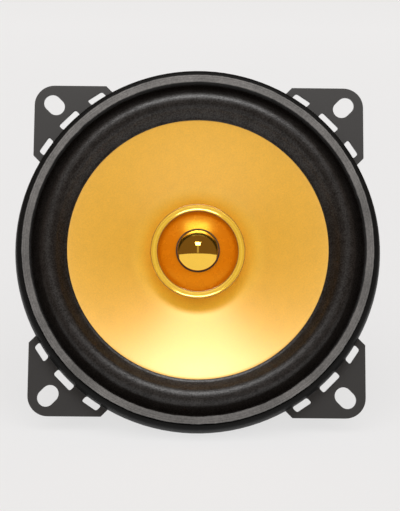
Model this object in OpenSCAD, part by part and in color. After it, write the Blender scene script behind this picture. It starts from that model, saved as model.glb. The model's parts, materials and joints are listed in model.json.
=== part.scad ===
// Four-inch two-way coaxial car loudspeaker.
// The front faces +Z and z = 0 is the rear face of the mounting flange, which lies on the panel.
// The X and Y axes each run through two opposite mounting ears.

/* [Flange and basket] */
// Outside diameter of the rim
rim_d = 102; // [100:0.5:104]
// Diameter of the circle through the centres of the mounting slots
bolt_circle = 116; // [115:0.5:118]
// Width of a mounting slot
slot_w = 4.8; // [4:0.1:5]
// Length of a mounting slot, end to end, along the radius
slot_l = 6.4; // [5.5:0.1:7]
// Thickness of the ears
ear_t = 0.9; // [0.7:0.1:1.2]
// Width of an ear across its radius
ear_w = 28.6; // [27:0.2:30]
// Width of each basket spoke
spoke_w = 10; // [8:0.5:12]
// Depth from the panel face to the back of the magnet system
mount_depth = 42; // [41:0.5:44]

/* [Gasket and surround] */
// Height of the gasket's front face above the panel face
gasket_z = 7.5; // [7:0.1:8.5]
// Outer radius of the gasket
gasket_r = 48.5; // [48:0.1:48.6]
// Radial width of the gasket
gasket_w = 2.2; // [2:0.1:3]
// Height of the surround's roll
roll_h = 3.2; // [2.9:0.1:3.4]
// Radius of the roll's centre line
roll_r = 41.5; // [41.4:0.1:41.6]

/* [Cone and voice coil] */
// Radius of the cone that shows inside the surround
cone_r = 36.3; // [36:0.1:36.6]
// Depth of the cone from its edge to its neck
cone_depth = 13.05; // [12.5:0.05:13.2]
// Thickness of the cone's wall
cone_t = 0.5; // [0.4:0.05:0.6]
// Inside diameter of the voice coil former
coil_d = 20; // [20:0.1:20.2]
// Height of the voice coil's winding
winding_h = 8; // [6:0.5:8.5]
// Number of corrugations in the spider
spider_waves = 4; // [3:1:5]

/* [Magnet system] */
// Diameter of the ferrite ring
magnet_d = 70; // [68:1:70]
// Thickness of the ferrite ring
magnet_t = 10; // [9:0.5:10]
// Thickness of the top plate and of the back plate
plate_t = 4; // [3.5:0.5:4]
// Diameter of both plates
plate_d = 66; // [64:1:66]

/* [Tweeter] */
// Outside diameter of the tweeter's bezel
bezel_d = 26.8; // [26.2:0.1:27]
// Diameter of the bullet-shaped phase plug
plug_d = 11.6; // [11.4:0.1:12]
// Height of the phase plug from its seat to its tip
plug_h = 4; // [3.8:0.1:5]
// Outside diameter of the hollow stem
stem_d = 6.8; // [6.6:0.1:7]

/* [Terminals] */
// Direction of the terminal board, in degrees from the X axis
terminal_angle = -45; // [-45:90:225]
// Width of the positive blade
positive_w = 4.8; // [4.8:0.1:6.3]
// Width of the negative blade
negative_w = 2.8; // [2.5:0.1:4.8]
// Diameter of the crossover capacitor
cap_d = 6.4; // [5:0.1:6.6]

/* [Hidden] */
$fn = 96;

glue = 0.05;                                 // bond line between glued pieces of different bodies
rim_r = rim_d / 2;
slot_r = bolt_circle / 2;
ear_corner = 5.6;                            // round corner of an ear, concentric with its slot
seat_z = 3.4;                                // seat that the surround's edge is glued to
rim_top = 6.2;
rim_bore = 48.7;                             // wall around the surround's edge and the gasket
wall = 1;                                    // thickness of the basket's wall
ledge_z = -12.4;                             // seat that the spider's edge is glued to
ledge_r = 33;
drum_r = 29;                                 // inside radius of the basket's lower drum
base_z = -mount_depth + 2 * plate_t + magnet_t;  // front face of the top plate
window_in = 35.2;
window_out = 42;
vent_w = 11;
vent_h = 4.6;
base_bore = 13.5;

skin = 0.5;                                  // thickness of the surround and of the spider
flat_z = seat_z + glue;                      // underside of the surround's flats
lip_r = 37.3;                                // outer edge of the cone's lip, under the surround
roll_w = 4.25;                               // half width of the roll at its foot
roll_cap = 3.2;                              // radius of the roll's rounded crest

former_r = coil_d / 2;
former_t = 0.2;
former_out = former_r + former_t;
former_top = -8.6;
former_end = -30.4;
coil_out = former_out + 0.48;
coil_mid = base_z - plate_t / 2;             // middle of the magnetic gap
neck_r = former_out + 0.05;
neck_z = flat_z - cone_depth;
spider_z = ledge_z + glue;
spider_in = 12.6;                            // flat inner collar of the spider
spider_wave = 1;                             // height of a corrugation above or below the middle

pole_r = former_r - 0.4;
pole_top = base_z + 1.5;
stem_bore = 2.2;
stem_hole = stem_d / 2 + 0.2;
pocket_r = 7.4;                              // pocket for the nut in the back plate
pocket_z = -mount_depth + 6.6;
washer_t = 0.6;
nut_h = 3;
nut_flats = 10;
groove_w = 3.6;
groove_h = 1.8;
rivet_r = 1.4;
rivet_head = 2.3;
rivet_ring = 21.5;                           // radius of the circle of plate rivets
rivet_count = 4;
rivet_start = 45;                            // direction of the first plate rivet, in degrees

bezel_r = bezel_d / 2;
pod_r = 9.2;                                 // cup of the tweeter housing, inside the former
pod_bore = 8.65;
pod_floor = -13.2;
pod_end = -14.2;
pod_face = -3.95;                            // face that the diaphragm's edge lies on
dome_radius = 21;                            // sphere that the amber dome is part of
dome_t = 0.2;
dome_edge = 11.05;
dome_edge_z = pod_face + glue + dome_t;
dome_centre_z = dome_edge_z - sqrt(dome_radius * dome_radius - dome_edge * dome_edge);
plug_r = plug_d / 2;
clamp_r = 4.6;                               // inner edge of the diaphragm, under the plug
plug_edge = 5.6;                             // where the diaphragm leaves the plug's seat
plug_z = dome_height(plug_edge);             // top of the diaphragm's clamped ring
seat_h = 0.35;                               // thickness of the plug's seat
nose_flank = 1;                              // slope of the plug's side, far from its tip
nose_blunt = 3.7;                            // larger for a blunter tip
nose_drop = nose_fall(plug_r);
yoke_floor = -10;
yoke_top = -4.9;
tweeter_gap_in = 6.6;
tweeter_gap_out = 7.6;
tweeter_coil_r = 6.9;
tweeter_coil_t = 0.3;
screw_r = 1;

board_r = 35.5;                              // inner face of the terminal board
board_t = 1.4;
board_half = 12;
board_low = -24.5;
board_high = -11.5;
tab_t = 0.8;
tab_v = 7.5;                                 // distance of each blade from the board's middle
tab_low = -22.5;
tab_high = -7.6;
tab_reach = 44.3;
board_rivet_z = -22.3;
tab_rivet_z = -15.5;
lug_half = 4;
cap_low = -19.7;
cap_high = -9.7;
cap_x = board_r + board_t + cap_d / 2 + 0.1;
splice_z = -22.9;                            // where the capacitor's lead meets the tweeter's lead
lead_d = 1.1;
lead_side = 0.75;                            // half the spacing of the two tweeter leads
tinsel_d = 1.0;
wire_d = 0.7;
magnet_side = magnet_d / 2 + 1.6;            // radius at which the leads pass the magnet
groove_lead_z = -mount_depth + 0.95;

// Routes are [radius, tangent, z] in the terminal board's direction.
tinsel_route = [
    [36.85, 7.5, -8.3], [35, 7.35, -8.15], [31, 6.9, -8.4], [26, 6.1, -9.2],
    [21, 5.1, -9.7], [16.5, 4.1, -9.8], [13.2, 3.2, -10.3], [10.88, 2.6, -11]
];
positive_route = [
    [4.3, 1, -11.3], [2.7, 0.95, -11.65], [0.9, 0.8, -12.7], [0.1, 0.75, -15], [0, 0.75, -22], [0, 0.75, -30],
    [0, 0.75, -36.5], [0.5, 0.75, -39.4], [2.2, 0.75, -40.8], [5, 0.75, -41.05], [14, 0.75, -41.05],
    [24, 0.75, -41.05], [32.6, 0.75, -41.05], [35.4, 0.75, -40.2], [36.6, 0.75, -37.6],
    [36.6, 0.75, -33], [36.7, 0.75, -28.8], [38, 0.5, -26], [39.8, 0.1, -24.4], [cap_x, 0, splice_z - 0.05]
];
negative_route = [
    [4.3, -1, -11.3], [2.7, -0.95, -11.65], [0.9, -0.8, -12.7], [0.1, -0.75, -15], [0, -0.75, -22], [0, -0.75, -30],
    [0, -0.75, -36.5], [0.5, -0.75, -39.4], [2.2, -0.75, -40.8], [5, -0.75, -41.05], [14, -0.75, -41.05],
    [24, -0.75, -41.05], [32.6, -0.75, -41.05], [35.4, -0.75, -40.2], [36.6, -0.75, -37.6],
    [36.6, -0.75, -33], [36.8, -1.1, -29], [37.4, -3.4, -26.6], [37.6, -6.2, -25.2],
    [37.6, -7.4, -23.9], [37.6, -7.5, tab_low - 0.05]
];
cap_top_route = [
    [cap_x, 0, -9.65], [cap_x, 0.1, -8.9], [39.9, 1, -8.3], [39.5, 3, -8.2],
    [38.9, 5, -8.4], [38.3, 6.6, -9.2], [38.1, 7.2, -10.4]
];

// ---- shared shapes ----

module ring(outer, inner, low, high) {
    difference() {
        translate([0, 0, low]) cylinder(r = outer, h = high - low);
        translate([0, 0, low - 1]) cylinder(r = inner, h = high - low + 2);
    }
}

module disc(radius, low, high) {
    translate([0, 0, low]) cylinder(r = radius, h = high - low);
}

module turned(outline) {
    rotate_extrude() polygon(outline);
}

// Block between two corners.
module block(low, high) {
    translate(low) cube(high - low);
}

function arc(centre, half_w, half_h, from, to, steps) = [
    for (i = [0:steps]) let (a = from + (to - from) * i / steps)
        [centre[0] + half_w * cos(a), centre[1] + half_h * sin(a)]
];

function unit(v) = v / norm(v);
function spline(a, b, c, d, t) =
    0.5 * (2 * b + (c - a) * t + (2 * a - 5 * b + 4 * c - d) * t * t + (3 * b - a - 3 * c + d) * t * t * t);
// Points of a smooth curve through a route, with a few steps from each point to the next.
function smooth(route, steps) = [
    for (i = [0:len(route) - 2], s = [0:steps - 1])
        spline(route[max(i - 1, 0)], route[i], route[i + 1], route[min(i + 2, len(route) - 1)], s / steps),
    route[len(route) - 1]
];

// Round tube along points that never run along the sideways direction.
module tube(points, diameter, sideways = [0, 1, 0], sides = 8) {
    count = len(points);
    rings = [
        for (i = [0:count - 1])
            let (
                along = unit(points[min(i + 1, count - 1)] - points[max(i - 1, 0)]),
                across = unit(sideways - (sideways * along) * along),
                up = cross(along, across)
            )
            for (k = [0:sides - 1])
                let (a = 360 * k / sides) points[i] + diameter / 2 * (cos(a) * across + sin(a) * up)
    ];
    sleeve = [
        for (i = [0:count - 2], k = [0:sides - 1])
            let (next = (k + 1) % sides)
                [i * sides + k, (i + 1) * sides + k, (i + 1) * sides + next, i * sides + next]
    ];
    first = [for (k = [0:sides - 1]) k];
    last = [for (k = [sides - 1:-1:0]) (count - 1) * sides + k];
    polyhedron(rings, concat([first], sleeve, [last]));
}

module at_terminals() {
    rotate(terminal_angle) children();
}

// ---- basket ----

function ear_outline() = concat(
    [[rim_r - 3, -ear_w / 2], [slot_r + ear_corner * sqrt(2) - ear_w / 2, -ear_w / 2]],
    arc([slot_r, 0], ear_corner, ear_corner, -45, 45, 12),
    [[slot_r + ear_corner * sqrt(2) - ear_w / 2, ear_w / 2], [rim_r - 3, ear_w / 2]]
);

module mounting_slot() {
    reach = (slot_l - slot_w) / 2;
    for (side = [-1, 1]) translate([slot_r + side * reach, 0, -1]) cylinder(d = slot_w, h = ear_t + 2);
    block([slot_r - reach, -slot_w / 2, -1], [slot_r + reach, slot_w / 2, ear_t + 1]);
}

// Narrow cut beside the rim: its long sides follow the rim and its ends lie along the ear.
// Corner of a cut-out with its point taken off, walking from the corner before to the one after.
function eased(corner, before, after, ease) =
    let (back = (before - corner) / norm(before - corner), on = (after - corner) / norm(after - corner))
    [corner + ease * back, corner + 0.29 * ease * (back + on), corner + ease * on];

module relief_cut(from, to) {
    depth = 1.9;
    low = [sqrt(rim_r * rim_r - from * from), from];
    high = [sqrt(rim_r * rim_r - to * to), to];
    out = [depth, 0];
    translate([0, 0, -1]) linear_extrude(ear_t + 2) polygon(concat(
        eased(low, low + out, high, 0.5), eased(high, low, high + out, 0.5),
        eased(high + out, high, low + out, 0.5), eased(low + out, high + out, low, 0.5)
    ));
}

module ear() {
    difference() {
        linear_extrude(ear_t) polygon(ear_outline());
        mounting_slot();
        relief_cut(-3.25, 3.25);
        relief_cut(7.5, 12.3);
        relief_cut(-12.3, -7.5);
        disc(rim_r - 1.5, -1, ear_t + 1);
    }
}

basket_outline = [
    [rim_r, 0], [rim_r, ear_t], [rim_r - 0.9, 5.2], [rim_r - 1.4, 5.95], [rim_r - 2, rim_top],
    [rim_bore, rim_top], [rim_bore, seat_z], [44, seat_z], [43.3, seat_z - 0.8], [42.6, -1],
    [ledge_r + 0.5, -11.4], [ledge_r, ledge_z], [drum_r + 0.6, ledge_z], [drum_r, ledge_z - 0.6],
    [drum_r, base_z + wall + 0.6], [drum_r - 0.6, base_z + wall], [base_bore, base_z + wall], [base_bore, base_z],
    [drum_r + wall, base_z], [drum_r + wall, ledge_z - wall], [ledge_r + wall, ledge_z - wall],
    [ledge_r + 1.5, -12.2], [43.7, -1.8], [45, 0], [46.8, 0], [47.1, 2], [48.9, 2], [49.2, 0]
];

module window_cut() {
    difference() {
        ring(window_out, window_in, ledge_z - 3, 1);
        for (a = [45, 135]) rotate(a) block([-50, -spoke_w / 2, ledge_z - 4], [50, spoke_w / 2, 2]);
    }
}

module vent_cuts() {
    for (a = [0:90:270]) rotate(a)
        block([drum_r - 2, -vent_w / 2, -20.4], [drum_r + 3, vent_w / 2, -20.4 + vent_h]);
}

module rivet_places() {
    for (i = [0:rivet_count - 1]) rotate(rivet_start + i * 360 / rivet_count) translate([rivet_ring, 0, 0]) children();
}

// Bent lug on the drum that carries the terminal board.
module terminal_lug() {
    block([drum_r + 0.4, -lug_half, -20.4], [board_r, lug_half, -19.4]);
    difference() {
        block([board_r - wall, -lug_half, -24], [board_r, lug_half, -19.4]);
        translate([board_r - 5, 0, board_rivet_z]) rotate([0, 90, 0]) cylinder(r = rivet_r, h = 10);
    }
}

module basket() {
    color([0.09, 0.09, 0.09]) {
        difference() {
            turned(basket_outline);
            window_cut();
            vent_cuts();
            rivet_places() disc(rivet_r, base_z - 1, base_z + 3);
        }
        for (a = [0:90:270]) rotate(a) ear();
        at_terminals() terminal_lug();
    }
}

module rim_gasket() {
    color([0.36, 0.35, 0.34]) ring(gasket_r, gasket_r - gasket_w, flat_z + skin + glue, gasket_z);
}

// ---- magnet system ----

module top_plate() {
    color([0.72, 0.72, 0.7]) difference() {
        ring(plate_d / 2, coil_out + 0.42, base_z - plate_t, base_z);
        rivet_places() disc(rivet_r, base_z - 2.5, base_z + 1);
    }
}

module ferrite_magnet() {
    color([0.2, 0.2, 0.21]) ring(magnet_d / 2, 15.5, base_z - plate_t - magnet_t, base_z - plate_t);
}

module pole_yoke() {
    color([0.72, 0.72, 0.7]) difference() {
        union() {
            disc(plate_d / 2, -mount_depth, -mount_depth + plate_t);
            disc(pole_r, -mount_depth + 1, pole_top);
        }
        disc(stem_hole, -mount_depth - 1, pole_top + 1);
        disc(pocket_r, -mount_depth - 1, pocket_z);
        at_terminals() block([0, -groove_w / 2, -mount_depth - 1], [plate_d / 2 + 1, groove_w / 2, -mount_depth + groove_h]);
    }
}

module plate_rivets() {
    color([0.75, 0.75, 0.73]) rivet_places() {
        disc(rivet_r, base_z - 2.5, base_z + wall + 0.3);
        disc(rivet_head, base_z + wall, base_z + wall + 0.9);
    }
}

// ---- terminals and wiring ----

module across_rivet(side, height, from, to, head_from, head_to) {
    translate([0, side, height]) rotate([0, 90, 0]) {
        translate([0, 0, from]) cylinder(r = 0.8, h = to - from);
        translate([0, 0, head_from]) cylinder(r = 1.5, h = from - head_from);
        translate([0, 0, to]) cylinder(r = 1.5, h = head_to - to);
    }
}

module terminal_board() {
    color([0.36, 0.22, 0.1]) at_terminals() difference() {
        block([board_r, -board_half, board_low], [board_r + board_t, board_half, board_high]);
        translate([board_r - 1, 0, board_rivet_z]) rotate([0, 90, 0]) cylinder(r = rivet_r, h = 5);
        for (side = [-tab_v, tab_v])
            translate([board_r - 1, side, tab_rivet_z]) rotate([0, 90, 0]) cylinder(r = 0.8, h = 5);
    }
}

module board_rivet() {
    color([0.75, 0.75, 0.73]) at_terminals() translate([0, 0, board_rivet_z]) rotate([0, 90, 0]) {
        disc(rivet_r, board_r - wall, board_r + board_t);
        disc(1.9, board_r - wall - 0.7, board_r - wall);
        disc(1.9, board_r + board_t, board_r + board_t + 0.7);
    }
}

module blade(side, width) {
    face = board_r + board_t;
    difference() {
        block([face, side - width / 2, tab_low], [face + tab_t, side + width / 2, tab_high]);
        translate([face - 1, side, tab_rivet_z]) rotate([0, 90, 0]) cylinder(r = 0.8, h = 4);
    }
    block([face, side - width / 2, tab_low], [tab_reach, side + width / 2, tab_low + tab_t]);
}

module positive_terminal() {
    color([0.8, 0.79, 0.75]) at_terminals() blade(tab_v, positive_w);
}

module negative_terminal() {
    color([0.8, 0.79, 0.75]) at_terminals() blade(-tab_v, negative_w);
}

module terminal_rivets() {
    face = board_r + board_t + tab_t;
    color([0.78, 0.66, 0.35]) at_terminals()
        for (side = [-tab_v, tab_v]) across_rivet(side, tab_rivet_z, board_r, face, board_r - 0.6, face + 0.6);
}

module crossover_capacitor() {
    color([0.12, 0.16, 0.32]) at_terminals() translate([cap_x, 0, 0]) turned([
        [0, cap_low], [cap_d / 2 - 0.4, cap_low], [cap_d / 2, cap_low + 0.4],
        [cap_d / 2, cap_high - 0.4], [cap_d / 2 - 0.4, cap_high], [0, cap_high]
    ]);
}

module capacitor_leads() {
    color([0.8, 0.79, 0.75]) at_terminals() {
        tube(smooth(cap_top_route, 3), wire_d, sideways = [1, 0, 0]);
        translate([cap_x, 0, splice_z]) cylinder(d = wire_d, h = cap_low - splice_z);
    }
}

module tweeter_lead_positive() {
    color([0.7, 0.1, 0.08]) at_terminals() tube(smooth(positive_route, 2), lead_d);
}

module tweeter_lead_negative() {
    color([0.06, 0.06, 0.06]) at_terminals() tube(smooth(negative_route, 2), lead_d);
}

// Saddle bonded to the magnet's side, round both tweeter leads.
module lead_clip() {
    color([0.05, 0.05, 0.05]) at_terminals() difference() {
        block([magnet_d / 2 + 0.05, -2.4, -35], [magnet_side + 1.3, 2.4, -31]);
        block([magnet_side - 0.65, -1.45, -36], [magnet_side + 0.65, 1.45, -30]);
    }
}

// ---- tweeter ----

function nose_fall(radius) = sqrt(nose_blunt * nose_blunt + pow(nose_flank * radius, 2)) - nose_blunt;
function dome_height(radius) = dome_centre_z + sqrt(dome_radius * dome_radius - radius * radius);
function dome_line(from, to, drop, steps) = [
    for (i = [0:steps]) let (r = from + (to - from) * i / steps) [r, dome_height(r) - drop]
];

module tweeter_stem() {
    color([0.78, 0.66, 0.35]) difference() {
        union() {
            disc(stem_d / 2, pocket_z - washer_t - nut_h - 0.4, pod_floor + 0.6);
            disc(4.6, pod_floor, pod_floor + 0.6);
        }
        disc(stem_bore, -mount_depth, pod_floor + 2);
    }
}

module stem_washer() {
    color([0.75, 0.75, 0.73]) ring(6.6, stem_d / 2 + 0.1, pocket_z - washer_t, pocket_z);
}

module stem_nut() {
    color([0.78, 0.66, 0.35]) difference() {
        translate([0, 0, pocket_z - washer_t - nut_h]) cylinder(d = nut_flats / cos(30), h = nut_h, $fn = 6);
        disc(stem_d / 2, pocket_z - washer_t - nut_h - 1, pocket_z);
    }
}

module tweeter_housing() {
    flange = bezel_r - 0.65;
    color([0.07, 0.07, 0.07]) turned([
        [stem_d / 2, pod_end], [pod_r - 1, pod_end], [pod_r, pod_end + 1], [pod_r, -5.6], [flange, pod_face - 0.6],
        [flange, pod_face], [pod_bore, pod_face], [pod_bore, yoke_floor], [pod_bore - 1, yoke_floor],
        [pod_bore - 1, pod_floor], [stem_d / 2, pod_floor]
    ]);
}

module tweeter_bezel() {
    inner = dome_edge + 0.35;
    middle = (bezel_r + inner) / 2;
    half = (bezel_r - inner) / 2;
    lips_z = dome_edge_z + 1.35;
    color([0.93, 0.7, 0.25]) turned(concat(
        [[bezel_r - 0.6, pod_face - 0.5], [bezel_r, pod_face - 0.5], [bezel_r, lips_z - 0.1]],
        arc([middle, lips_z], half - 0.1, 0.45, 0, -180, 16),
        [[inner, lips_z - 0.1], [inner, dome_edge_z + glue], [bezel_r - 0.6, dome_edge_z + glue]]
    ));
}

module tweeter_yoke() {
    color([0.7, 0.7, 0.7]) difference() {
        disc(pod_bore - 0.05, yoke_floor, yoke_top);
        disc(tweeter_gap_out, yoke_floor + 1.2, yoke_top + 1);
        disc(screw_r, yoke_floor - 1, yoke_top + 1);
    }
}

module tweeter_magnet() {
    color([0.8, 0.8, 0.82]) ring(6.2, screw_r, yoke_floor + 1.2, yoke_floor + 3.8);
}

module tweeter_pole_plate() {
    color([0.7, 0.7, 0.7]) ring(tweeter_gap_in, screw_r, yoke_floor + 3.8, yoke_floor + 5);
}

module plug_spacer() {
    color([0.78, 0.66, 0.35]) ring(clamp_r + 0.9, screw_r, yoke_floor + 5, plug_z - dome_t - glue);
}

// Thin dark washer between the diaphragm and the plug.
module plug_seat() {
    color([0.12, 0.06, 0.03]) ring(plug_r + 0.4, clamp_r, plug_z + glue, plug_z + seat_h);
}

module phase_plug() {
    base = plug_z + seat_h;
    tip = base + plug_h;
    color([0.93, 0.72, 0.28]) difference() {
        turned(concat(
            [[0, base], [plug_r, base], [plug_r, tip - nose_drop]],
            [for (i = [1:14]) let (r = plug_r * (1 - i / 14)) [r, tip - nose_fall(r)]]
        ));
        disc(screw_r, base - 1, base + 2.2);
    }
}

module plug_screw() {
    color([0.75, 0.75, 0.73]) {
        disc(screw_r, yoke_floor, plug_z + seat_h + 2.1);
        disc(1.9, yoke_floor - 1, yoke_floor);
    }
}

module tweeter_diaphragm() {
    color([0.85, 0.45, 0.05]) turned(concat(
        [[clamp_r, plug_z - dome_t]],
        dome_line(plug_edge, dome_edge, dome_t, 10),
        [[dome_edge + 0.9, dome_edge_z - dome_t], [dome_edge + 0.9, dome_edge_z]],
        dome_line(dome_edge, plug_edge, 0, 10),
        [[clamp_r, plug_z]]
    ));
}

module tweeter_voice_coil() {
    outer = tweeter_coil_r + tweeter_coil_t;
    color([0.72, 0.42, 0.2]) ring(outer, tweeter_coil_r, yoke_floor + 3.4, dome_height(outer) - dome_t - 0.05);
}

// ---- cone assembly ----

// Front surface of the cone: steeper near the neck.
cone_run = cone_r - neck_r;
cone_curve = 1.12;
function cone_height(radius) = flat_z - cone_depth * pow(1 - (radius - neck_r) / cone_run, cone_curve);
function cone_line(from, to, drop, steps) = [
    for (i = [0:steps]) let (r = from + (to - from) * i / steps) [r, cone_height(r) - drop]
];

module cone() {
    color([0.9, 0.68, 0.28]) turned(concat(
        [[neck_r, neck_z + 0.5], [neck_r + 0.5, neck_z + 0.5]],
        cone_line(neck_r + 0.7, cone_r, 0, 16),
        [[lip_r, flat_z], [lip_r, flat_z - cone_t]],
        cone_line(cone_r, neck_r + 0.7, cone_t, 16),
        [[neck_r + 0.5, neck_z - 0.8], [neck_r, neck_z - 0.8]]
    ));
}

module surround() {
    top = flat_z + skin;
    half = skin / 2;
    crest = [roll_r, top + roll_h - roll_cap - half];
    color([0.08, 0.08, 0.08]) turned(concat(
        [[cone_r, flat_z], [roll_r - roll_w + half, flat_z]],
        arc(crest, roll_cap - half, roll_cap - half, 140, 40, 16),
        [[roll_r + roll_w - half, flat_z], [gasket_r - 0.1, flat_z], [gasket_r - 0.1, top]],
        [[roll_r + roll_w + half, top]],
        arc(crest, roll_cap + half, roll_cap + half, 40, 140, 16),
        [[roll_r - roll_w - half, top], [cone_r, top]]
    ));
}

function spider_line(drop) = [
    for (i = [0:spider_waves * 12])
        let (
            t = i / (spider_waves * 12),
            r = spider_in + (ledge_r - 3.6 - spider_in) * t
        )
        [r, spider_z + drop + spider_wave * sin(360 * spider_waves * t)]
];
function reversed(list) = [for (i = [len(list) - 1:-1:0]) list[i]];

module spider() {
    color([0.72, 0.6, 0.34]) turned(concat(
        [[neck_r, spider_z]], spider_line(0), [[ledge_r - 0.1, spider_z], [ledge_r - 0.1, spider_z + skin]],
        reversed(spider_line(skin)), [[neck_r, spider_z + skin]]
    ));
}

module coil_former() {
    color([0.75, 0.5, 0.2]) ring(former_out, former_r, former_end, former_top);
}

module voice_coil() {
    color([0.72, 0.38, 0.18]) ring(coil_out, former_out + 0.02, coil_mid - winding_h / 2, coil_mid + winding_h / 2);
}

// Solder pads on the former where the flexible leads end.
module lead_anchors() {
    color([0.8, 0.79, 0.75]) at_terminals() for (side = [-1, 1]) intersection() {
        ring(11.1, former_out + 0.02, neck_z - 1.9, neck_z - 0.9);
        block([9, side * 2.7 - 1, neck_z - 3], [12, side * 2.7 + 1, neck_z]);
    }
}

module tinsel_lead(side) {
    at_terminals() tube(smooth([for (p = tinsel_route) [p[0], side * p[1], p[2]]], 3), tinsel_d);
}

module tinsel_lead_positive() {
    color([0.75, 0.5, 0.3]) tinsel_lead(1);
}

module tinsel_lead_negative() {
    color([0.75, 0.5, 0.3]) tinsel_lead(-1);
}

basket();
rim_gasket();
top_plate();
ferrite_magnet();
pole_yoke();
plate_rivets();
terminal_board();
board_rivet();
positive_terminal();
negative_terminal();
terminal_rivets();
crossover_capacitor();
capacitor_leads();
tweeter_lead_positive();
tweeter_lead_negative();
lead_clip();
tweeter_stem();
stem_washer();
stem_nut();
tweeter_housing();
tweeter_bezel();
tweeter_yoke();
tweeter_magnet();
tweeter_pole_plate();
plug_spacer();
plug_seat();
phase_plug();
plug_screw();
tweeter_diaphragm();
tweeter_voice_coil();
cone();
surround();
spider();
coil_former();
voice_coil();
lead_anchors();
tinsel_lead_positive();
tinsel_lead_negative();
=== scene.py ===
"""Looks of a four-inch coaxial car loudspeaker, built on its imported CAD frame.

The front faces +Z, and the X and Y axes each run through two opposite mounting ears.
Profiles are turned about the Z axis and are given as (radius, height) in millimetres.
"""

import json
import math

import bmesh
import bpy
from mathutils import Matrix, Vector, noise
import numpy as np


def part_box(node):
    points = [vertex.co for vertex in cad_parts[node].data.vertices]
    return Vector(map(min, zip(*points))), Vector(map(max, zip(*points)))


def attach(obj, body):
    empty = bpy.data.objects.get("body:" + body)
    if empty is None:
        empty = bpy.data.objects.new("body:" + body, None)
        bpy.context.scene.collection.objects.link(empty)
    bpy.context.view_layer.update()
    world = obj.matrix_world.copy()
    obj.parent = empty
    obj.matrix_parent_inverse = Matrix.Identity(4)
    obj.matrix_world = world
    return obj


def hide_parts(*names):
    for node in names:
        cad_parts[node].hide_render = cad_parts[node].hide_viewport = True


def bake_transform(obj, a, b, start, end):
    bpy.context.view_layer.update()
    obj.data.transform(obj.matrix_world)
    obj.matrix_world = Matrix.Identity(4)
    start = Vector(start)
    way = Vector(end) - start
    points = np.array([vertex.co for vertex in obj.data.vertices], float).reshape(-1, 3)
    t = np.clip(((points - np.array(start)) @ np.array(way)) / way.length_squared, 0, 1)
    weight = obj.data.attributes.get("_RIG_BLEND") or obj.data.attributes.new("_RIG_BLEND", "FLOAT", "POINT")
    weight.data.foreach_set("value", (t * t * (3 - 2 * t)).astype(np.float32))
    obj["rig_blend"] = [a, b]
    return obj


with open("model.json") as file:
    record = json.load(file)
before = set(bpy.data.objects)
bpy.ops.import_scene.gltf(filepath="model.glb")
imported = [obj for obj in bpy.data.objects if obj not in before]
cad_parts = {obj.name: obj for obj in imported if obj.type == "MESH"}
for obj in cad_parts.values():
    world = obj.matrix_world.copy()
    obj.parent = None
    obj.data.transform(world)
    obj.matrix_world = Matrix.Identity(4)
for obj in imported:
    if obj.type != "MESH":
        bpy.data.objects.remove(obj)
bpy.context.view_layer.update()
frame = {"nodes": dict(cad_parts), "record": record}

MM = 0.001
BASKET, CONE, TWEETER = "basket_body", "cone_body", "tweeter_body"

# The view's right and up lie between the ears, and the front faces the viewer.
RIGHT = Vector((1, -1, 0)).normalized()
UP = Vector((1, 1, 0)).normalized()
FRONT = Vector((0, 0, 1))


def top_mm(node):
    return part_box(node)[1].z / MM


def foot_mm(node):
    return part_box(node)[0].z / MM


def radius_mm(node):
    low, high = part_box(node)
    return (high.x - low.x) / 2 / MM


# ---- sizes, in millimetres ----

RIM_R = 51
SKIN = 0.5                               # thickness of the surround and the spider
FLAT = foot_mm("surround")               # underside of the surround's flats
ROLL_R = 41.5                            # middle of the surround's roll
ROLL_HALF = 4.25
ROLL_CAP = 3.2                           # radius of the roll's round crest
ROLL_FILLET, ROLL_RISE = 0.15, 0.14      # soft foot of the roll's flanks
GASKET_WIDTH = 2.2
GASKET_ROUND = 0.15
GASKET_RAGGED = ((260, 0.10), (900, 0.07))    # noise scale, and depth of the frayed edge
GASKET_KEEP_IN = 0.05

CONE_R = 36.3                            # edge of the cone that shows inside the surround
LIP_R = radius_mm("cone")
CONE_T = 0.5
NECK_R = radius_mm("coil_former") + 0.05
CONE_START = NECK_R + 0.7
CONE_DEPTH = 13.05
CONE_POWER = 1.12                        # 1 for a straight cone, more for a curved one
COLLAR_OUT, COLLAR_ABOVE, COLLAR_BELOW = 0.5, 0.5, 0.8

SPIDER_START = 12.6
SPIDER_LAND = 3.5                        # flat ring outside the waves
SPIDER_WAVES = 4
LEAD_INNER, LEAD_OUTER = 13, 33          # the tinsel leads bend between these radii

DOME_RADIUS = 21
DOME_EDGE = 11.05
DOME_T = 0.2
DOME_CLAMP = 4.6                         # inner edge of the film, held under the plug
DOME_COIL_R = 7.05
DOME_BEND_IN, DOME_BEND_OUT = 1.4, 4.0   # widths of film that bend inside and outside the coil
BEZEL_INNER = DOME_EDGE + 0.35
BEZEL_LIP = 0.12
BEZEL_VALLEY = 0.42
BEZEL_SKIRT, BEZEL_SHELF = 0.6, 0.8
PLUG_EDGE = 5.6
PLUG_ROUND = 0.05
NOSE_FLANK = 1.0                         # slope of the plug's side, far from its tip
NOSE_BLUNT = 3.7                         # larger for a blunter tip

RIM_STEPS, GASKET_STEPS, SPIDER_STEPS, TWEETER_STEPS = 256, 720, 160, 192
CONE_STEPS, WAVE_STEPS, NOSE_STEPS, DOME_STEPS = 40, 96, 48, 24


# ---- camera, floor and light ----

CAMERA_DISTANCE = 0.3559
CAMERA_DROP = math.radians(7.483)        # lean of the line of sight towards the view's lower edge
CAMERA_SIDE = math.radians(0.501)        # and towards its left edge
CAMERA_ROLL = math.radians(0.444)
CAMERA_AIM = (0.602 * MM, -1.581 * MM)
CAMERA_LENS, CAMERA_SENSOR = 89.50, 36


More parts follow.
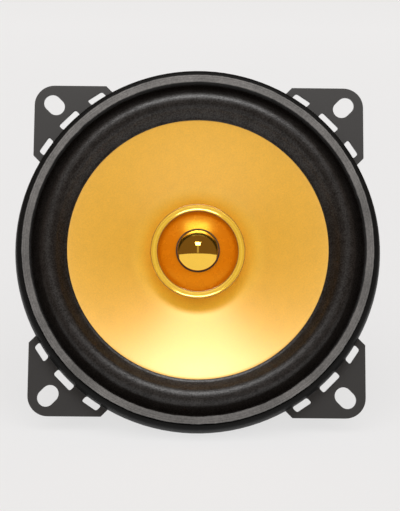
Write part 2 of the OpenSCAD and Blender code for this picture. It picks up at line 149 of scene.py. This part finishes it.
def add_camera():
    back = (FRONT - math.tan(CAMERA_DROP) * UP - math.tan(CAMERA_SIDE) * RIGHT).normalized()
    right = UP.cross(back).normalized()
    up = back.cross(right)
    turn = Matrix.Rotation(CAMERA_ROLL, 3, back)
    place = CAMERA_AIM[0] * RIGHT + CAMERA_AIM[1] * UP + CAMERA_DISTANCE * back
    camera = bpy.data.objects.new("camera", bpy.data.cameras.new("camera"))
    bpy.context.collection.objects.link(camera)
    axes = Matrix((turn @ right, turn @ up, back)).transposed()
    camera.matrix_world = Matrix.Translation(place) @ axes.to_4x4()
    camera.data.lens = CAMERA_LENS
    camera.data.sensor_width = CAMERA_SENSOR
    camera.data.clip_start = 0.01
    camera.data.clip_end = 20
    bpy.context.scene.camera = camera


LIGHT_DISTANCE = 2.0

# name: lean from straight ahead towards the view's top, (width, height), radiance,
# and whether it shows in the glossy reflections or else in the diffuse light
LIGHTS = {
    "softbox": (math.radians(46), (1.2, 0.7), 13.3, True),
    "panel": (math.radians(5), (0.6, 2.4), 0.33, True),
    "ceiling": (math.radians(20), (5.2, 4.4), 1.27, False),
}


def add_light(name, lean_up, size, radiance, mirrored):
    back = (FRONT + math.tan(lean_up) * UP).normalized()
    across = (RIGHT - RIGHT.dot(back) * back).normalized()
    lamp = bpy.data.lights.new(name, "AREA")
    lamp.shape = "RECTANGLE"
    lamp.size, lamp.size_y = size
    lamp.energy = radiance * math.pi * size[0] * size[1]
    light = bpy.data.objects.new(name, lamp)
    bpy.context.collection.objects.link(light)
    axes = Matrix((across, back.cross(across), back)).transposed()
    light.matrix_world = Matrix.Translation(LIGHT_DISTANCE * back) @ axes.to_4x4()
    light.visible_glossy = mirrored
    light.visible_diffuse = not mirrored


# The speaker stands on its rim and leans back on its magnet.
LEAN = math.atan2(RIM_R - radius_mm("ferrite_magnet"), -foot_mm("ferrite_magnet"))
FLOOR_UP = math.cos(LEAN) * UP + math.sin(LEAN) * FRONT
TABLE_HALF = 3
TABLE_AHEAD = 0.30    # from the speaker to the table's near edge


def add_floor():
    bm = bmesh.new()
    bmesh.ops.create_grid(bm, x_segments=1, y_segments=1, size=TABLE_HALF)
    bmesh.ops.translate(bm, verts=bm.verts, vec=(0, TABLE_HALF - TABLE_AHEAD, 0))
    turn = Matrix((RIGHT, FLOOR_UP.cross(RIGHT), FLOOR_UP)).transposed()
    under_rim = Matrix.Translation(-RIM_R * MM * UP)
    bmesh.ops.transform(bm, verts=bm.verts, matrix=under_rim @ turn.to_4x4())
    mesh = bpy.data.meshes.new("floor")
    bm.to_mesh(mesh)
    bm.free()
    floor = bpy.data.objects.new("floor", mesh)
    bpy.context.collection.objects.link(floor)
    mesh.materials.append(floor_paper())


PALE = (0.863, 0.863, 0.863, 1)
ROOM = (0.185, 0.125, 0.088, 1)


def add_world():
    """Dim room, that the camera sees as a pale backdrop."""
    world = bpy.data.worlds.new("studio")
    world.use_nodes = True
    nodes = Nodes(world.node_tree)
    straight = nodes.add("LightPath").outputs["Is Camera Ray"]
    background = world.node_tree.nodes["Background"]
    nodes.feed(background, "Color", nodes.mix(straight, ROOM, PALE))
    bpy.context.scene.world = world


def light_studio():
    add_world()
    for name, values in LIGHTS.items():
        add_light(name, *values)
    bpy.context.scene.view_settings.view_transform = "Standard"
    bpy.context.scene.view_settings.look = "None"


# ---- material parts ----

class Nodes:
    """Short way to add nodes to one tree and link them."""

    def __init__(self, tree):
        self.tree = tree

    def add(self, kind, links=(), **values):
        node = self.tree.nodes.new("ShaderNode" + kind)
        for key, value in values.items():
            setattr(node, key, value)
        for socket, source in dict(links).items():
            self.feed(node, socket, source)
        return node

    def feed(self, node, socket, source):
        if isinstance(source, bpy.types.NodeSocket):
            self.tree.links.new(source, node.inputs[socket])
        else:
            node.inputs[socket].default_value = source

    def maths(self, operation, a, b=0.0):
        return self.add("Math", {0: a, 1: b}, operation=operation).outputs[0]

    def ramp(self, value, low, high, to_low=0.0, to_high=1.0):
        node = self.add("MapRange", {"Value": value, "From Min": low, "From Max": high,
                                     "To Min": to_low, "To Max": to_high})
        return node.outputs["Result"]

    def mix(self, factor, first, second):
        node = self.add("Mix", {0: factor, 6: first, 7: second}, data_type="RGBA")
        return node.outputs[2]

    def vectors(self, operation, a, b=(0, 0, 0), result="Vector"):
        return self.add("VectorMath", {0: a, 1: b}, operation=operation).outputs[result]

    def grey(self, value):
        return self.add("CombineXYZ", {0: value, 1: value, 2: value}).outputs[0]


def new_material(name, **shader_values):
    """A material with its nodes helper, Principled shader and object coordinates."""
    material = bpy.data.materials.new(name)
    material.use_nodes = True
    nodes = Nodes(material.node_tree)
    shader = material.node_tree.nodes["Principled BSDF"]
    for socket, value in shader_values.items():
        shader.inputs[socket.replace("_", " ")].default_value = value
    place = nodes.add("TexCoord").outputs["Object"]
    return material, nodes, shader, place


def group(name, inputs, outputs):
    """A node group, with its nodes helper, what it is given and its end node."""
    tree = bpy.data.node_groups.new(name, "ShaderNodeTree")
    for label, kind, default in inputs:
        socket = tree.interface.new_socket(label, in_out="INPUT", socket_type=kind)
        if default is not None:
            socket.default_value = default
    for label in outputs:
        tree.interface.new_socket(label, in_out="OUTPUT", socket_type="NodeSocketFloat")
    start = tree.nodes.new("NodeGroupInput")
    end = tree.nodes.new("NodeGroupOutput")
    return tree, Nodes(tree), start.outputs, end


def make_grain_group():
    """Fine grain on a surface: a shade that stays near 1, and a height round the middle."""
    tree, nodes, given, end = group(
        "fine_grain",
        [("Place", "NodeSocketVector", None), ("Size mm", "NodeSocketFloat", 0.3),
         ("Strength", "NodeSocketFloat", 0.2)],
        ["Shade", "Height"])
    scale = nodes.maths("DIVIDE", 1 / MM, given["Size mm"])
    fine = nodes.add("TexNoise", {"Vector": given["Place"], "Scale": scale,
                                  "Detail": 3.0, "Roughness": 0.6})
    coarse = nodes.add("TexNoise", {"Vector": given["Place"],
                                    "Scale": nodes.maths("MULTIPLY", scale, 0.13),
                                    "Detail": 2.0, "Roughness": 0.5})
    both = nodes.maths("ADD", nodes.maths("MULTIPLY", fine.outputs["Fac"], 0.75),
                       nodes.maths("MULTIPLY", coarse.outputs["Fac"], 0.25))
    swing = nodes.maths("MULTIPLY", nodes.maths("SUBTRACT", both, 0.5), given["Strength"])
    nodes.feed(end, "Shade", nodes.maths("ADD", 1.0, nodes.maths("MULTIPLY", swing, 2.0)))
    nodes.feed(end, "Height", both)
    return tree


def make_axis_group():
    """Distance from the speaker's axis and height along it, from object coordinates."""
    tree, nodes, given, end = group(
        "about_axis", [("Place", "NodeSocketVector", None)], ["Radius mm", "Height mm"])
    x, y, z = nodes.add("SeparateXYZ", {"Vector": given["Place"]}).outputs
    squares = nodes.maths("ADD", nodes.maths("MULTIPLY", x, x), nodes.maths("MULTIPLY", y, y))
    nodes.feed(end, "Radius mm", nodes.maths("MULTIPLY", nodes.maths("SQRT", squares), 1 / MM))
    nodes.feed(end, "Height mm", nodes.maths("MULTIPLY", z, 1 / MM))
    return tree


def make_ring_group():
    """Uneven rings round the speaker's axis, as turning or winding leaves them."""
    tree, nodes, given, end = group(
        "fine_rings",
        [("Radius mm", "NodeSocketFloat", 0.0), ("Rings per mm", "NodeSocketFloat", 4.0),
         ("Detail", "NodeSocketFloat", 2.0)],
        ["Height"])
    along = nodes.maths("MULTIPLY", given["Radius mm"], given["Rings per mm"])
    rings = nodes.add("TexNoise", {"W": along, "Scale": 1.0, "Detail": given["Detail"]},
                      noise_dimensions="1D")
    nodes.feed(end, "Height", rings.outputs["Fac"])
    return tree


GRAIN = make_grain_group()
AXIS = make_axis_group()
RINGS = make_ring_group()


def grain(nodes, place, size_mm, strength):
    node = nodes.add("Group", node_tree=GRAIN)
    nodes.feed(node, "Place", place)
    nodes.feed(node, "Size mm", size_mm)
    nodes.feed(node, "Strength", strength)
    return node.outputs["Shade"], node.outputs["Height"]


def about_axis(nodes, place):
    node = nodes.add("Group", node_tree=AXIS)
    nodes.feed(node, "Place", place)
    return node.outputs["Radius mm"], node.outputs["Height mm"]


def fine_rings(nodes, radius, per_mm, detail):
    node = nodes.add("Group", node_tree=RINGS)
    nodes.feed(node, "Radius mm", radius)
    nodes.feed(node, "Rings per mm", per_mm)
    nodes.feed(node, "Detail", detail)
    return node.outputs["Height"]


def colour_by(nodes, shader, colour, shade):
    """Gives the shader a colour made darker or lighter by a shade that stays near 1."""
    nodes.feed(shader, "Base Color", nodes.vectors("MULTIPLY", colour, nodes.grey(shade)))


def roughness_by(nodes, shader, height, smooth, rough, low=0.3, high=0.7):
    nodes.feed(shader, "Roughness", nodes.ramp(height, low, high, smooth, rough))


def bump(nodes, shader, height, depth_mm):
    node = nodes.add("Bump", {"Height": height, "Distance": depth_mm * MM, "Strength": 1.0})
    nodes.feed(shader, "Normal", node.outputs["Normal"])


# ---- finishes ----

def floor_paper():
    """Even pale paper, seen from above only."""
    material, nodes, shader, place = new_material(
        "floor_paper", Roughness=0.9, Specular_IOR_Level=0.0, Emission_Color=PALE)
    shade, _ = grain(nodes, place, 3.0, 0.01)
    colour_by(nodes, shader, (0.20, 0.20, 0.203), shade)
    away = nodes.vectors("LENGTH", place, result="Value")
    seen = nodes.ramp(away, 0.1, 1.2, 0.795, 0.87)
    straight = nodes.add("LightPath").outputs["Is Camera Ray"]
    nodes.feed(shader, "Emission Strength", nodes.ramp(straight, 0.0, 1.0, 0.97, seen))
    clear = nodes.add("BsdfTransparent").outputs[0]
    below = nodes.add("NewGeometry").outputs["Backfacing"]
    both = nodes.add("MixShader", {0: below, 1: shader.outputs[0], 2: clear})
    output = material.node_tree.nodes["Material Output"]
    nodes.feed(output, "Surface", both.outputs[0])
    return material


def satin_paint():
    """Black stove enamel on pressed steel, glossier on the ears than on the rim."""
    material, nodes, shader, place = new_material(
        "satin_paint", IOR=1.5, Specular_IOR_Level=0.04, Coat_Roughness=0.5, Coat_IOR=1.6)
    _, height_mm = about_axis(nodes, place)
    shade, height = grain(nodes, place, 0.5, 0.3)
    colour_by(nodes, shader, (0.009, 0.009, 0.0088), shade)
    roughness_by(nodes, shader, height, 0.44, 0.56)
    nodes.feed(shader, "Coat Weight", nodes.ramp(height_mm, 1.0, 1.6, 1.0, 0.0))
    bump(nodes, shader, height, 0.012)
    return material


def pressed_fibre():
    """Grey gasket card with rings of fibre and paler patches, with painted light towards its top and painted
    shade on its sides.
    """
    material, nodes, shader, place = new_material("pressed_fibre", Roughness=0.95)
    radius, height_mm = about_axis(nodes, place)
    shade, height = grain(nodes, place, 0.55, 0.8)
    fibres = fine_rings(nodes, radius, 3.5, 2.0)
    patches = nodes.add("TexNoise", {"Vector": place, "Scale": 90.0, "Detail": 4.0}).outputs["Fac"]
    tone = nodes.mix(nodes.ramp(patches, 0.35, 0.65),
                     (0.088, 0.086, 0.083, 1), (0.132, 0.128, 0.124, 1))
    # Paler towards the view's top, where the light falls: painted light.
    towards_top = nodes.vectors("DOT_PRODUCT", place, UP, result="Value")
    painted_top_light = nodes.ramp(towards_top, -0.01, 0.045, 0.0, 0.045)
    paler = nodes.vectors("ADD", tone, nodes.grey(painted_top_light))
    # Much darker on the card's sides below its top face: painted shade.
    painted_side_shade = nodes.ramp(height_mm, 7.25, 7.45, 0.2, 1.0)
    lines = nodes.ramp(fibres, 0.3, 0.7, 0.86, 1.14)
    colour_by(nodes, shader, paler,
              nodes.maths("MULTIPLY", nodes.maths("MULTIPLY", shade, painted_side_shade), lines))
    bump(nodes, shader, nodes.maths("ADD", height, fibres), 0.10)
    return material


def surround_rubber():
    """Matt rubber whose fine grain breaks up its sheen."""
    material, nodes, shader, place = new_material(
        "surround_rubber", IOR=1.5, Specular_IOR_Level=0.25, Coat_Roughness=0.38, Coat_IOR=1.5)
    shade, height = grain(nodes, place, 0.45, 0.9)
    colour_by(nodes, shader, (0.0068, 0.0052, 0.0042), shade)
    roughness_by(nodes, shader, height, 0.34, 0.48, 0.35, 0.65)
    nodes.feed(shader, "Coat Weight", nodes.ramp(height, 0.40, 0.62, 0.0, 0.75))
    bump(nodes, shader, height, 0.11)
    return material


def gold_lacquer(name, metallic, rough, coat_rough, grain_strength, edges=None):
    """Gold lacquer under a clear coat, paler towards the axis as painted light, with brown bands of painted
    shade at the edges where asked.
    """
    material, nodes, shader, place = new_material(
        name, Metallic=metallic, Coat_Weight=1.0, Coat_Roughness=coat_rough, Coat_IOR=1.6)
    radius, _ = about_axis(nodes, place)
    shade, height = grain(nodes, place, 0.42, grain_strength)
    # The lighter, yellower gold within 13.5 to 20 mm of the axis is painted light, set against the shade
    # that the tweeter pod casts on the cone.
    tone = nodes.mix(nodes.ramp(radius, 13.5, 20.0), (1.0, 0.64, 0.05, 1), (0.88, 0.47, 0.013, 1))
    # Where edges are given, the brown bands at the inner and outer edge are painted shade.
    if edges:
        inner, outer = edges
        near_inner = nodes.ramp(radius, inner + 0.3, inner + 0.1)
        near_outer = nodes.ramp(radius, outer - 0.3, outer - 0.1)
        tan = nodes.maths("MAXIMUM", near_inner, near_outer)
        tone = nodes.mix(tan, tone, (0.30, 0.13, 0.03, 1))
    colour_by(nodes, shader, tone, shade)
    roughness_by(nodes, shader, height, rough - 0.05, rough + 0.05)
    bump(nodes, shader, height, 0.12 * grain_strength)
    return material


def polished_gold():
    material, nodes, shader, place = new_material("polished_gold", Metallic=1.0)
    shade, height = grain(nodes, place, 1.6, 0.06)
    colour_by(nodes, shader, (0.93, 0.57, 0.075), shade)
    roughness_by(nodes, shader, height, 0.045, 0.08, 0.35, 0.65)
    return material


def amber_film():
    """Dyed film with a yellow sheen."""
    material, nodes, shader, place = new_material(
        "amber_film", IOR=1.8, Specular_Tint=(1.0, 0.75, 0.05, 1))
    shade, height = grain(nodes, place, 2.5, 0.06)
    colour_by(nodes, shader, (0.68, 0.165, 0.0015), shade)
    roughness_by(nodes, shader, height, 0.24, 0.3)
    return material


def plated_steel():
    """Zinc-plated steel with turning marks round the axis."""
    material, nodes, shader, place = new_material("plated_steel", Metallic=1.0)
    radius, _ = about_axis(nodes, place)
    marks = fine_rings(nodes, radius, 5.0, 3.0)
    shade, _ = grain(nodes, place, 0.8, 0.12)
    colour_by(nodes, shader, (0.60, 0.60, 0.57), shade)
    roughness_by(nodes, shader, marks, 0.28, 0.42)
    bump(nodes, shader, marks, 0.02)
    return material


def sintered_ferrite():
    material, nodes, shader, place = new_material("sintered_ferrite", IOR=1.6)
    shade, height = grain(nodes, place, 0.6, 0.4)
    pits = nodes.add("TexVoronoi", {"Vector": place, "Scale": 900.0}).outputs["Distance"]
    colour_by(nodes, shader, (0.035, 0.035, 0.037), shade)
    roughness_by(nodes, shader, height, 0.5, 0.7)
    bump(nodes, shader, nodes.maths("ADD", height, pits), 0.03)
    return material


def plain_finish(name, colour, rough, metallic=0.0, size_mm=0.6, strength=0.15, depth_mm=0.01):
    """Finish for a small piece: one tone with fine grain in its colour, gloss and height."""
    material, nodes, shader, place = new_material(name, Metallic=metallic)
    shade, height = grain(nodes, place, size_mm, strength)
    colour_by(nodes, shader, colour, shade)
    roughness_by(nodes, shader, height, rough - 0.06, rough + 0.06)
    bump(nodes, shader, height, depth_mm)
    return material


THREAD_PITCH = 0.55 * MM


def woven_cloth():
    """Resin-dipped cloth of the spider, woven along X and Y."""
    material, nodes, shader, place = new_material("woven_cloth", Roughness=0.75)
    across, along, _ = nodes.add("SeparateXYZ", {"Vector": place}).outputs
    warp, weft = [nodes.maths("SINE", nodes.maths("MULTIPLY", way, 2 * math.pi / THREAD_PITCH))
                  for way in (across, along)]
    weave = nodes.ramp(nodes.maths("MULTIPLY", warp, weft), -1.0, 1.0)
    shade, _ = grain(nodes, place, 0.6, 0.25)
    colour_by(nodes, shader, nodes.mix(weave, (0.30, 0.20, 0.075, 1), (0.55, 0.40, 0.18, 1)), shade)
    bump(nodes, shader, weave, 0.08)
    return material


WIRE_PITCH_MM = 0.22


def copper_winding():
    """Enamelled wire wound round the axis, turn on turn."""
    material, nodes, shader, place = new_material("copper_winding", Metallic=1.0, Roughness=0.3)
    _, height_mm = about_axis(nodes, place)
    wave = nodes.maths("SINE", nodes.maths("MULTIPLY", height_mm, math.pi / WIRE_PITCH_MM))
    turns = nodes.maths("ABSOLUTE", wave)
    tone = nodes.mix(turns, (0.20, 0.06, 0.02, 1), (0.72, 0.30, 0.12, 1))
    nodes.feed(shader, "Base Color", tone)
    bump(nodes, shader, turns, 0.06)
    return material


# slot: colour, roughness, and what differs from a plain finish
PLAIN_FINISHES = {
    "former_film": ((0.42, 0.19, 0.04), 0.3, {}),
    "rivet_steel": ((0.62, 0.62, 0.60), 0.3, {"metallic": 1.0}),
    "board_laminate": ((0.16, 0.075, 0.028), 0.5, {"size_mm": 0.35, "strength": 0.5}),
    "tinned_brass": ((0.68, 0.67, 0.62), 0.25, {"metallic": 1.0}),
    "yellow_brass": ((0.72, 0.52, 0.22), 0.25, {"metallic": 1.0}),
    "capacitor_sleeve": ((0.012, 0.025, 0.11), 0.25, {"size_mm": 1.5}),
    "red_insulation": ((0.42, 0.015, 0.012), 0.35, {}),
    "black_insulation": ((0.014, 0.014, 0.014), 0.38, {}),
    "clip_nylon": ((0.018, 0.018, 0.018), 0.45, {}),
    "seat_bakelite": ((0.035, 0.014, 0.004), 0.65, {}),
    "neodymium": ((0.7, 0.7, 0.72), 0.15, {"metallic": 1.0}),
    "tinsel_braid": ((0.62, 0.33, 0.16), 0.35,
                     {"metallic": 1.0, "size_mm": 0.15, "strength": 0.8, "depth_mm": 0.06}),
}
BEZEL_EDGES = (BEZEL_INNER, radius_mm("tweeter_bezel"))

FINISH = {
    "basket_paint": satin_paint(),
    "gasket_fibre": pressed_fibre(),
    "surround_rubber": surround_rubber(),
    "cone_gold": gold_lacquer("cone_gold", 0.18, 0.45, 0.38, 0.22),
    "gold_pod": gold_lacquer("gold_pod", 0.05, 0.5, 0.3, 0.1),
    "bezel_gold": gold_lacquer("bezel_gold", 0.35, 0.12, 0.05, 0.05, BEZEL_EDGES),
    "gold_chrome": polished_gold(),
    "amber_film": amber_film(),
    "spider_cloth": woven_cloth(),
    "copper_wire": copper_winding(),
    "plated_steel": plated_steel(),
    "ferrite": sintered_ferrite(),
}
for slot, (colour, rough, more) in PLAIN_FINISHES.items():
    FINISH[slot] = plain_finish(slot, colour, rough, **more)


# ---- mesh tools ----

CREASE = math.radians(35)    # a sharper edge than this stays crisp


def finish_mesh(bm, name, body, slot, stands_for):
    """Closes a bmesh into a piece that rides on a body and takes its slot's finish."""
    bmesh.ops.remove_doubles(bm, verts=bm.verts, dist=1e-7)
    bmesh.ops.recalc_face_normals(bm, faces=bm.faces)
    mesh = bpy.data.meshes.new(name)
    bm.to_mesh(mesh)
    bm.free()
    mesh.shade_smooth()
    mesh.set_sharp_from_angle(angle=CREASE)
    piece = bpy.data.objects.new(name, mesh)
    bpy.context.collection.objects.link(piece)
    mesh.materials.append(FINISH[slot])
    if body:
        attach(piece, body)
    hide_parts(stands_for)
    return piece


def turn_profile(profile, steps):
    """Closed outline of (radius, height) in millimetres, spun about the Z axis."""
    bm = bmesh.new()
    corners = [bm.verts.new((r * MM, 0, z * MM)) for r, z in profile]
    edges = [bm.edges.new((a, b)) for a, b in zip(corners, corners[1:] + corners[:1])
             if a.co.x > 1e-9 or b.co.x > 1e-9]
    bmesh.ops.spin(bm, geom=corners + edges, cent=(0, 0, 0), axis=(0, 0, 1), angle=2 * math.pi,
                   steps=steps, use_merge=True, use_duplicate=False)
    return bm


def arc_points(centre, half_w, half_h, start, stop, count):
    """Points of an ellipse's arc, angles in degrees."""
    turns = [math.radians(start + (stop - start) * i / count) for i in range(count + 1)]
    return [(centre[0] + half_w * math.cos(a), centre[1] + half_h * math.sin(a)) for a in turns]


def radial_blend(piece, inner_body, outer_body, inner_mm, outer_mm):
    """The piece follows one body inside a radius and the other outside it, and bends between."""
    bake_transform(piece, inner_body, outer_body, start=(inner_mm * MM, 0, 0), end=(outer_mm * MM, 0, 0))
    share = piece.data.attributes["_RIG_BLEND"].data
    for vertex, item in zip(piece.data.vertices, share):
        t = (vertex.co.xy.length / MM - inner_mm) / (outer_mm - inner_mm)
        t = min(max(t, 0), 1)
        item.value = t * t * (3 - 2 * t)


def welded_copy(node, body, slot, round_mm):
    """A CAD node's welded copy, with its sharp edges rounded."""
    bm = bmesh.new()
    bm.from_mesh(frame["nodes"][node].data)
    bmesh.ops.remove_doubles(bm, verts=bm.verts, dist=2e-6)
    bmesh.ops.dissolve_limit(bm, angle_limit=math.radians(0.5), verts=bm.verts, edges=bm.edges)
    piece = finish_mesh(bm, node + "_part", body, slot, node)
    if round_mm:
        bevel = piece.modifiers.new("rounded_edges", "BEVEL")
        bevel.width = round_mm * MM
        bevel.segments = 2
        bevel.limit_method = "ANGLE"
        bevel.angle_limit = math.radians(40)
        bevel.harden_normals = True
    return piece


# ---- the moving front ----

def cone_height(radius):
    share = 1 - (radius - NECK_R) / (CONE_R - NECK_R)
    return FLAT - CONE_DEPTH * max(share, 0) ** CONE_POWER


def make_cone():
    """Curved cone with a flat lip outside and a glued collar round the former."""
    radii = [CONE_START + (CONE_R - CONE_START) * i / CONE_STEPS for i in range(CONE_STEPS + 1)]
    front = [(r, cone_height(r)) for r in radii]
    back = [(r, z - CONE_T) for r, z in reversed(front)]
    neck, collar = FLAT - CONE_DEPTH, NECK_R + COLLAR_OUT
    profile = ([(NECK_R, neck + COLLAR_ABOVE), (collar, neck + COLLAR_ABOVE)] + front
               + [(LIP_R, FLAT), (LIP_R, FLAT - CONE_T)] + back
               + [(collar, neck - COLLAR_BELOW), (NECK_R, neck - COLLAR_BELOW)])
    bm = turn_profile(profile, RIM_STEPS)
    finish_mesh(bm, "cone_body_skin", CONE, "cone_gold", "cone")


def make_surround():
    """Half roll on straight flanks, between a feathered lip on the cone and a flat on the rim."""
    half = SKIN / 2
    top = FLAT + SKIN
    rim = radius_mm("surround")
    crest = (ROLL_R, top_mm("surround") - ROLL_CAP - half)
    under = arc_points(crest, ROLL_CAP - half, ROLL_CAP - half, 138, 42, 24)
    over = arc_points(crest, ROLL_CAP + half, ROLL_CAP + half, 40, 140, 32)
    foot = ROLL_HALF + half
    feathered_lip = [(CONE_R + 0.2, top - 0.1), (CONE_R, top - 0.3)]
    profile = ([(CONE_R, FLAT), (ROLL_R - ROLL_HALF + half, FLAT)] + under
               + [(ROLL_R + ROLL_HALF - half, FLAT), (rim, FLAT), (rim, top),
                  (ROLL_R + foot + ROLL_FILLET, top),
                  (ROLL_R + foot - ROLL_FILLET, top + ROLL_RISE)]
               + over
               + [(ROLL_R - foot + ROLL_FILLET, top + ROLL_RISE),
                  (ROLL_R - foot - ROLL_FILLET, top - 0.03)]
               + feathered_lip)
    bm = turn_profile(profile, RIM_STEPS)
    piece = finish_mesh(bm, "surround_skin", None, "surround_rubber", "surround")
    radial_blend(piece, CONE, BASKET, ROLL_R - ROLL_HALF, ROLL_R + ROLL_HALF)


def make_gasket():
    """Ring of grey card, a little ragged along both edges."""
    outer = radius_mm("rim_gasket")
    inner = outer - GASKET_WIDTH
    middle = (inner + outer) / 2 * MM
    foot, top, soft = foot_mm("rim_gasket"), top_mm("rim_gasket"), GASKET_ROUND
    profile = [(inner, foot), (outer, foot), (outer, top - soft), (outer - soft, top),
               (inner + soft, top), (inner, top - soft)]
    bm = turn_profile(profile, GASKET_STEPS)
    for vertex in bm.verts:
        radius, spot = vertex.co.xy.length, vertex.co.xy.to_3d()
        ragged = sum(noise.noise(spot * scale) * depth for scale, depth in GASKET_RAGGED)
        inwards = -1 if radius > middle else 1
        vertex.co.xy *= (radius + inwards * (ragged + GASKET_KEEP_IN) * MM) / radius
    finish_mesh(bm, "gasket_ring", BASKET, "gasket_fibre", "rim_gasket")


def make_spider():
    foot, top, outer = foot_mm("spider"), top_mm("spider"), radius_mm("spider")
    middle = (top + foot) / 2 - SKIN / 2
    height = (top - foot - SKIN) / 2
    end = outer - SPIDER_LAND
    shares = [i / WAVE_STEPS for i in range(WAVE_STEPS + 1)]
    line = [(SPIDER_START + (end - SPIDER_START) * s,
             middle + height * math.sin(2 * math.pi * SPIDER_WAVES * s)) for s in shares]
    profile = ([(NECK_R, middle)] + line + [(outer, middle), (outer, middle + SKIN)]
               + [(r, z + SKIN) for r, z in reversed(line)] + [(NECK_R, middle + SKIN)])
    bm = turn_profile(profile, SPIDER_STEPS)
    piece = finish_mesh(bm, "spider_skin", None, "spider_cloth", "spider")
    radial_blend(piece, CONE, BASKET, SPIDER_START, end)


# ---- tweeter ----

def make_bezel():
    """Ring with a shallow valley between two rounded lips."""
    outer, inner, lip = radius_mm("tweeter_bezel"), BEZEL_INNER, BEZEL_LIP
    foot, top = foot_mm("tweeter_bezel"), top_mm("tweeter_bezel")
    middle, half = (outer + inner) / 2, (outer - inner) / 2
    skirt, shelf = outer - BEZEL_SKIRT, foot + BEZEL_SHELF
    profile = ([(skirt, foot), (outer, foot)]
               + arc_points((outer - lip, top - lip), lip, lip, 0, 90, 5)
               + arc_points((middle, top), half - 2 * lip, BEZEL_VALLEY, 0, -180, 28)
               + arc_points((inner + lip, top - lip), lip, lip, 90, 180, 5)
               + [(inner, shelf), (skirt, shelf)])
    bm = turn_profile(profile, RIM_STEPS)
    finish_mesh(bm, "bezel_ring", BASKET, "bezel_gold", "tweeter_bezel")


def nose_fall(radius):
    return math.hypot(NOSE_BLUNT, NOSE_FLANK * radius) - NOSE_BLUNT


def make_plug():
    """Bullet-shaped plug with a rounded tip and a small round over its lower edge."""
    base, tip, wide = foot_mm("phase_plug"), top_mm("phase_plug"), radius_mm("phase_plug")
    edge = [(0, base), (wide, base), (wide, tip - nose_fall(wide) - PLUG_ROUND),
            (wide - PLUG_ROUND, tip - nose_fall(wide - 2 * PLUG_ROUND))]
    radii = [wide * (1 - i / NOSE_STEPS) for i in range(2, NOSE_STEPS)]
    nose = [(r, tip - nose_fall(r)) for r in radii]
    bm = turn_profile(edge + nose + [(0, tip)], TWEETER_STEPS)
    finish_mesh(bm, "bullet_plug", BASKET, "gold_chrome", "phase_plug")


def make_diaphragm():
    """Domed film ring, that its coil moves and that the bezel and the plug hold at its edges."""
    rim, edge_z = radius_mm("tweeter_diaphragm"), foot_mm("tweeter_diaphragm") + DOME_T
    centre = edge_z - math.sqrt(DOME_RADIUS ** 2 - DOME_EDGE ** 2)
    radii = [PLUG_EDGE + (DOME_EDGE - PLUG_EDGE) * i / DOME_STEPS for i in range(DOME_STEPS + 1)]
    dome = [(r, centre + math.sqrt(DOME_RADIUS ** 2 - r * r)) for r in radii]
    top = [(DOME_CLAMP, dome[0][1])] + dome + [(rim, edge_z)]
    bm = turn_profile(top + [(r, z - DOME_T) for r, z in reversed(top)], TWEETER_STEPS)
    piece = finish_mesh(bm, "amber_diaphragm", None, "amber_film", "tweeter_diaphragm")
    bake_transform(piece, TWEETER, BASKET, start=(0.007, 0, 0), end=(0.011, 0, 0))
    for vertex, item in zip(piece.data.vertices, piece.data.attributes["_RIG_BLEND"].data):
        past_coil = vertex.co.xy.length / MM - DOME_COIL_R
        item.value = min(abs(past_coil) / (DOME_BEND_IN if past_coil < 0 else DOME_BEND_OUT), 1)


# ---- hard parts that keep their CAD shape ----

# node: radius of its rounded edges, in millimetres
ROUNDED = {
    "basket": 0.18, "top_plate": 0.3, "ferrite_magnet": 0.6, "pole_yoke": 0.3,
    "plate_rivets": 0.25, "terminal_board": 0.12, "board_rivet": 0.15,
    "positive_terminal": 0.1, "negative_terminal": 0.1, "terminal_rivets": 0.15,
    "lead_clip": 0.3, "tweeter_stem": 0.1, "stem_washer": 0.08, "stem_nut": 0.25,
    "tweeter_housing": 0.15, "crossover_capacitor": 0.15, "lead_anchors": 0.1,
    "coil_former": 0, "voice_coil": 0.05, "tweeter_voice_coil": 0.03, "tweeter_yoke": 0.1,
    "tweeter_magnet": 0.1, "tweeter_pole_plate": 0.1, "plug_spacer": 0.1, "plug_seat": 0.08,
    "plug_screw": 0.15, "capacitor_leads": 0,
    "tweeter_lead_positive": 0, "tweeter_lead_negative": 0,
}


def make_hard_parts():
    record = frame["record"]
    slots = {part["node"]: part["material_slot"] for part in record["subparts"]}
    bodies = {node: body for body, nodes in record["behaviour"]["bodies"].items() for node in nodes}
    for node, round_mm in ROUNDED.items():
        welded_copy(node, bodies[node], slots[node], round_mm)


def make_tinsel_leads():
    """Braided leads, fixed at the board and following the cone at their inner end."""
    for node in ("tinsel_lead_positive", "tinsel_lead_negative"):
        piece = welded_copy(node, None, "tinsel_braid", 0)
        radial_blend(piece, CONE, BASKET, LEAD_INNER, LEAD_OUTER)


add_camera()
light_studio()
add_floor()
make_cone()
make_surround()
make_gasket()
make_spider()
make_bezel()
make_plug()
make_diaphragm()
make_hard_parts()
make_tinsel_leads()
